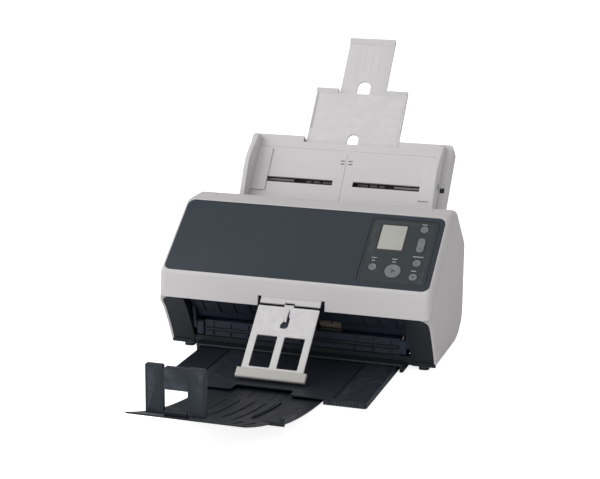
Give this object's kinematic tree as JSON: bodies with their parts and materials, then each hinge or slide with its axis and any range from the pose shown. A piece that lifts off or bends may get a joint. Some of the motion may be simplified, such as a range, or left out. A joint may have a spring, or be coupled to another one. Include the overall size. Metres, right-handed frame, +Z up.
{
  "type": "sheet fed document scanner",
  "caption": "Desktop sheet fed document scanner with an adjustable rear paper chute, swing-open scan unit, operator panel, exit guide and extending curved stacker.",
  "frame": {"origin": "table level, middle of the whole footprint with the chute and the stacker pulled out", "axes": "+Z up, +X to the right seen from the front, front and stacker towards -Y"},
  "size_m": [0.3, 0.6224, 0.319],
  "materials": {
    "shell": "fine moulded texture",
    "chute_shell": "fine moulded texture",
    "dark_panel": "satin",
    "operator_face": "satin",
    "frame_black": "moulded",
    "tray_dark": "moulded",
    "stopper_dark": "moulded",
    "button_grey": "satin",
    "display": "semi-gloss",
    "rubber": "matte",
    "pinch_rubber": "matte",
    "steel": "ground",
    "gear_plastic": "natural",
    "sensor": "matte",
    "board": "solder mask",
    "scan_glass": "polished"
  },
  "bodies": {
    "base": {"base_frame": "frame_black", "left_side_cover": "shell", "right_side_cover": "shell", "rear_cover": "shell", "bottom_plate": "steel", "left_foot": "rubber", "right_foot": "rubber", "lower_scan_housing": "frame_black", "lower_scan_glass": "scan_glass", "lower_image_sensor": "sensor", "drive_belt": "rubber", "drive_motor": "steel", "main_board": "board", "power_socket": "frame_black", "data_socket": "steel", "left_hinge_pin": "steel", "right_hinge_pin": "steel", "chute_bed": "chute_shell", "chute_back_cover": "chute_shell"},
    "cover": {"upper_scan_housing": "frame_black", "upper_scan_glass": "scan_glass", "upper_image_sensor": "sensor", "front_frame": "shell", "front_panel": "dark_panel", "operator_panel": "operator_face", "display_window": "display"},
    "pick_unit": {"pick_shaft": "steel", "pick_roller": "rubber", "pick_gear": "gear_plastic"},
    "feed_unit": {"feed_shaft": "steel", "feed_tyre_left": "rubber", "feed_tyre_right": "rubber", "feed_gear": "gear_plastic", "feed_pulley": "gear_plastic"},
    "eject_unit": {"eject_shaft": "steel", "eject_tyre_left": "rubber", "eject_tyre_right": "rubber", "eject_pulley": "gear_plastic"},
    "power_button": {"power_button": "button_grey"},
    "menu_button": {"menu_button": "button_grey"},
    "stop_button": {"stop_button": "button_grey"},
    "clear_button": {"clear_button": "button_grey"},
    "scan_button": {"scan_button": "button_grey"},
    "rocker_button": {"rocker_button": "button_grey"},
    "exit_guide": {"exit_guide": "shell"},
    "idler_gear": {"idler_gear": "gear_plastic"},
    "motor_pulley": {"motor_pulley": "gear_plastic"},
    "brake_roller": {"brake_roller": "rubber"},
    "feed_pinch_roller": {"feed_pinch_roller": "pinch_rubber"},
    "eject_pinch_left": {"eject_pinch_left": "pinch_rubber"},
    "eject_pinch_right": {"eject_pinch_right": "pinch_rubber"},
    "left_side_guide": {"left_side_guide": "chute_shell"},
    "right_side_guide": {"right_side_guide": "chute_shell"},
    "guide_pinion": {"guide_pinion": "gear_plastic"},
    "chute_extension_lower": {"chute_extension_lower": "chute_shell"},
    "chute_extension_upper": {"chute_extension_upper": "chute_shell"},
    "stacker_tray": {"stacker_tray": "tray_dark"},
    "stacker_extension_lower": {"stacker_extension_lower": "tray_dark"},
    "stacker_extension_upper": {"stacker_extension_upper": "tray_dark"},
    "stacker_stopper": {"stacker_stopper": "stopper_dark"}
  },
  "joints": [
    {"name": "cover_hinge", "type": "hinge", "parent": "base", "child": "cover", "pos_m": [0, 0.02998, 0.03], "axis": [1, 0, 0], "range_deg": [0, 50]},
    {"name": "exit_guide_hinge", "type": "hinge", "parent": "cover", "child": "exit_guide", "pos_m": [0, -0.01085, 0.07076], "axis": [1, 0, 0], "range_deg": [-106, 0]},
    {"name": "power_button_press", "type": "slide", "parent": "cover", "child": "power_button", "axis": [0, 0.607, -0.7947], "range_m": [0, 0.001]},
    {"name": "menu_button_press", "type": "slide", "parent": "cover", "child": "menu_button", "axis": [0, 0.607, -0.7947], "range_m": [0, 0.001]},
    {"name": "stop_button_press", "type": "slide", "parent": "cover", "child": "stop_button", "axis": [0, 0.607, -0.7947], "range_m": [0, 0.001]},
    {"name": "clear_button_press", "type": "slide", "parent": "cover", "child": "clear_button", "axis": [0, 0.607, -0.7947], "range_m": [0, 0.001]},
    {"name": "scan_button_press", "type": "slide", "parent": "cover", "child": "scan_button", "axis": [0, 0.607, -0.7947], "range_m": [0, 0.001]},
    {"name": "rocker_tilt", "type": "hinge", "parent": "cover", "child": "rocker_button", "pos_m": [0.126, 0.04677, 0.13215], "axis": [1, 0, 0], "range_deg": [-4, 4]},
    {"name": "feed_spin", "type": "hinge", "parent": "base", "child": "feed_unit", "pos_m": [0, 0.09918, 0.0463], "axis": [1, 0, 0], "continuous": true},
    {"name": "pick_spin", "type": "hinge", "parent": "base", "child": "pick_unit", "pos_m": [0, 0.11908, 0.07], "axis": [1, 0, 0], "continuous": true},
    {"name": "idler_spin", "type": "hinge", "parent": "base", "child": "idler_gear", "pos_m": [0, 0.10913, 0.05815], "axis": [1, 0, 0], "continuous": true},
    {"name": "eject_spin", "type": "hinge", "parent": "base", "child": "eject_unit", "pos_m": [0, 0.03998, 0.0296], "axis": [1, 0, 0], "continuous": true},
    {"name": "motor_spin", "type": "hinge", "parent": "base", "child": "motor_pulley", "pos_m": [0, 0.14298, 0.036], "axis": [1, 0, 0], "continuous": true},
    {"name": "brake_spin", "type": "hinge", "parent": "cover", "child": "brake_roller", "pos_m": [0, 0.10528, 0.0806], "axis": [1, 0, 0], "continuous": true},
    {"name": "feed_pinch_spin", "type": "hinge", "parent": "cover", "child": "feed_pinch_roller", "pos_m": [0, 0.08858, 0.0561], "axis": [1, 0, 0], "continuous": true},
    {"name": "eject_pinch_left_spin", "type": "hinge", "parent": "cover", "child": "eject_pinch_left", "pos_m": [0, 0.03998, 0.0423], "axis": [1, 0, 0], "continuous": true},
    {"name": "eject_pinch_right_spin", "type": "hinge", "parent": "cover", "child": "eject_pinch_right", "pos_m": [0, 0.03998, 0.0423], "axis": [1, 0, 0], "continuous": true},
    {"name": "left_guide_slide", "type": "slide", "parent": "base", "child": "left_side_guide", "axis": [1, 0, 0], "range_m": [0, 0.078]},
    {"name": "right_guide_slide", "type": "slide", "parent": "base", "child": "right_side_guide", "axis": [-1, 0, 0], "range_m": [0, 0.078]},
    {"name": "guide_pinion_spin", "type": "hinge", "parent": "base", "child": "guide_pinion", "pos_m": [0, 0.18567, 0.16325], "axis": [0, -0.7912, 0.6115], "range_deg": [-750, 750]},
    {"name": "chute_lower_slide", "type": "slide", "parent": "base", "child": "chute_extension_lower", "axis": [0, -0.6115, -0.7912], "range_m": [0, 0.06]},
    {"name": "chute_upper_slide", "type": "slide", "parent": "chute_extension_lower", "child": "chute_extension_upper", "axis": [0, -0.6115, -0.7912], "range_m": [0, 0.062]},
    {"name": "stacker_tray_slide", "type": "slide", "parent": "base", "child": "stacker_tray", "axis": [0, 1, 0], "range_m": [0, 0.062]},
    {"name": "stacker_lower_slide", "type": "hinge", "parent": "stacker_tray", "child": "stacker_extension_lower", "pos_m": [0, -0.04302, 0.8026], "axis": [1, 0, 0], "range_deg": [0, 5.01]},
    {"name": "stacker_upper_slide", "type": "hinge", "parent": "stacker_extension_lower", "child": "stacker_extension_upper", "pos_m": [0, -0.04302, 0.8026], "axis": [1, 0, 0], "range_deg": [0, 5.37]},
    {"name": "stopper_fold", "type": "hinge", "parent": "stacker_extension_upper", "child": "stacker_stopper", "pos_m": [0, -0.30302, 0.0516], "axis": [-1, 0, 0], "range_deg": [0, 100]}
  ],
  "couplings": [
    {"joint": "exit_guide_hinge", "follows": "cover_hinge", "ratio": -2.1},
    {"joint": "pick_spin", "follows": "feed_spin", "ratio": 1},
    {"joint": "idler_spin", "follows": "feed_spin", "ratio": -1.0667},
    {"joint": "eject_spin", "follows": "feed_spin", "ratio": 1.1111},
    {"joint": "motor_spin", "follows": "feed_spin", "ratio": 1.5},
    {"joint": "right_guide_slide", "follows": "left_guide_slide", "ratio": 1},
    {"joint": "guide_pinion_spin", "follows": "left_guide_slide", "rad_per_m": -166.67}
  ]
}
